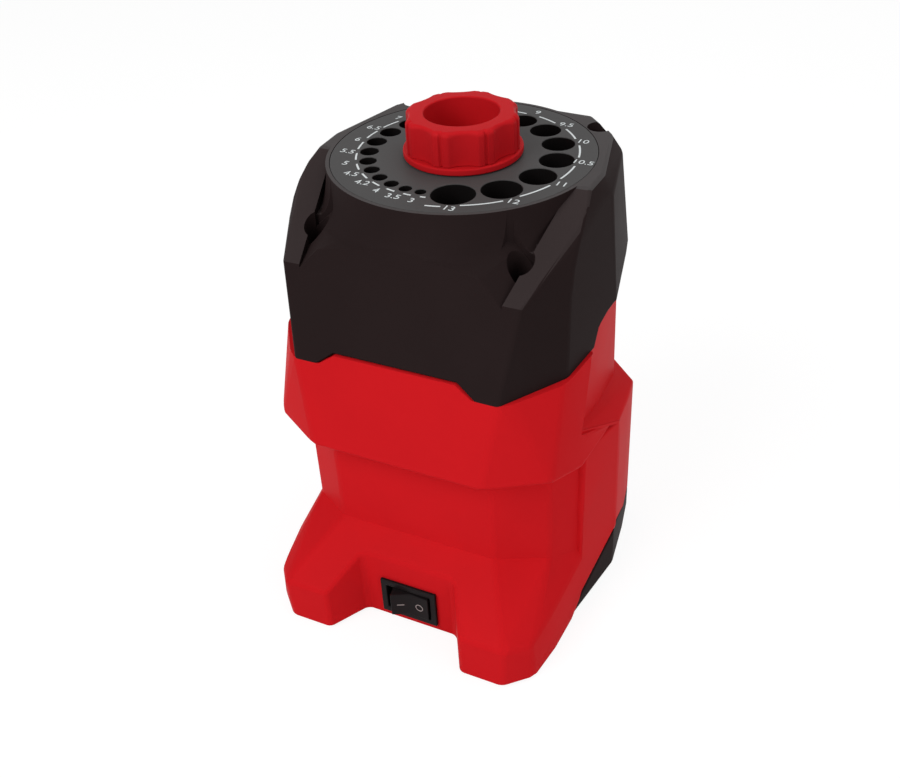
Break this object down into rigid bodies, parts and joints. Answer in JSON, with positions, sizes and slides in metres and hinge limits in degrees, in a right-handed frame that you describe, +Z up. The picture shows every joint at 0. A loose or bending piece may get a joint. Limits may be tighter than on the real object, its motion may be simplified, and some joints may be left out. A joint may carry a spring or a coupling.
{
  "type": "drill bit sharpener",
  "caption": "Upright bench drill bit sharpener: a motor in a two-part housing turns a conical stone under a dial of guide holes, with a stone lift knob and a rocker switch.",
  "frame": {"origin": "on the bench, under the middle of the bounding box; the spindle stands 11.8 mm behind it on +Y", "axes": "+Z up along the spindle; -Y is the front with the switch; +X to the right seen from the front"},
  "size_m": [0.111, 0.1216, 0.1689],
  "materials": {
    "red_plastic": "satin moulded",
    "knob_plastic": "satin moulded",
    "black_plastic": "fine satin moulded",
    "dial_plastic": "fine matte with printed numbers",
    "rubber": "matte",
    "steel": "turned",
    "brass": "turned",
    "stone": "coarse grit",
    "laminations": "stacked sheet",
    "copper": "varnished wire",
    "bracket_alloy": "die cast",
    "capacitor_case": "smooth",
    "ivory_plastic": "smooth",
    "contact_brass": "stamped"
  },
  "bodies": {
    "housing": {"top_cover": "black_plastic", "guide_dial": "dial_plastic", "grit_shield": "black_plastic", "front_housing": "red_plastic", "rear_cover": "red_plastic", "base_cover": "black_plastic", "rubber_feet": "rubber", "cover_screws": "steel", "housing_screws": "steel", "base_screws": "steel", "upper_bracket": "bracket_alloy", "lower_bracket": "bracket_alloy", "motor_bolts": "steel", "upper_bearing": "steel", "lower_bearing": "steel", "stator_core": "laminations", "stator_windings": "copper", "run_capacitor": "capacitor_case", "capacitor_clip": "steel", "terminal_block": "ivory_plastic", "switch_frame": "black_plastic", "switch_terminals": "contact_brass", "cord_gland": "black_plastic"},
    "knob": {"wear_knob": "knob_plastic", "knob_clip": "steel", "lift_screw": "steel"},
    "lifter": {"lift_nut": "brass", "lift_pins": "steel", "stone_bearing": "steel"},
    "stone": {"stone_hub": "steel", "grinding_stone": "stone", "stone_ring": "steel"},
    "rotor": {"rotor_core": "laminations", "rotor_shaft": "steel", "cooling_fan": "black_plastic"},
    "rocker": {"switch_rocker": "black_plastic"}
  },
  "joints": [
    {"name": "rotor_spin", "type": "hinge", "parent": "housing", "child": "rotor", "pos_m": [0, 0.0118, 0.059], "axis": [0, 0, 1], "continuous": true},
    {"name": "knob_turn", "type": "hinge", "parent": "housing", "child": "knob", "pos_m": [0, 0.0118, 0.149], "axis": [0, 0, -1], "range_deg": [0, 540]},
    {"name": "stone_lift", "type": "slide", "parent": "housing", "child": "lifter", "axis": [0, 0, 1], "range_m": [0, 0.00225]},
    {"name": "stone_spin", "type": "hinge", "parent": "lifter", "child": "stone", "pos_m": [0, 0.0118, 0.12], "axis": [0, 0, 1], "continuous": true},
    {"name": "switch_rock", "type": "hinge", "parent": "housing", "child": "rocker", "pos_m": [0, -0.0428, 0.0114], "axis": [0, 0, -1], "range_deg": [0, 22]}
  ],
  "couplings": [
    {"joint": "knob_turn", "follows": "stone_lift", "rad_per_m": 4188.8},
    {"joint": "stone_spin", "follows": "rotor_spin", "ratio": 1}
  ]
}
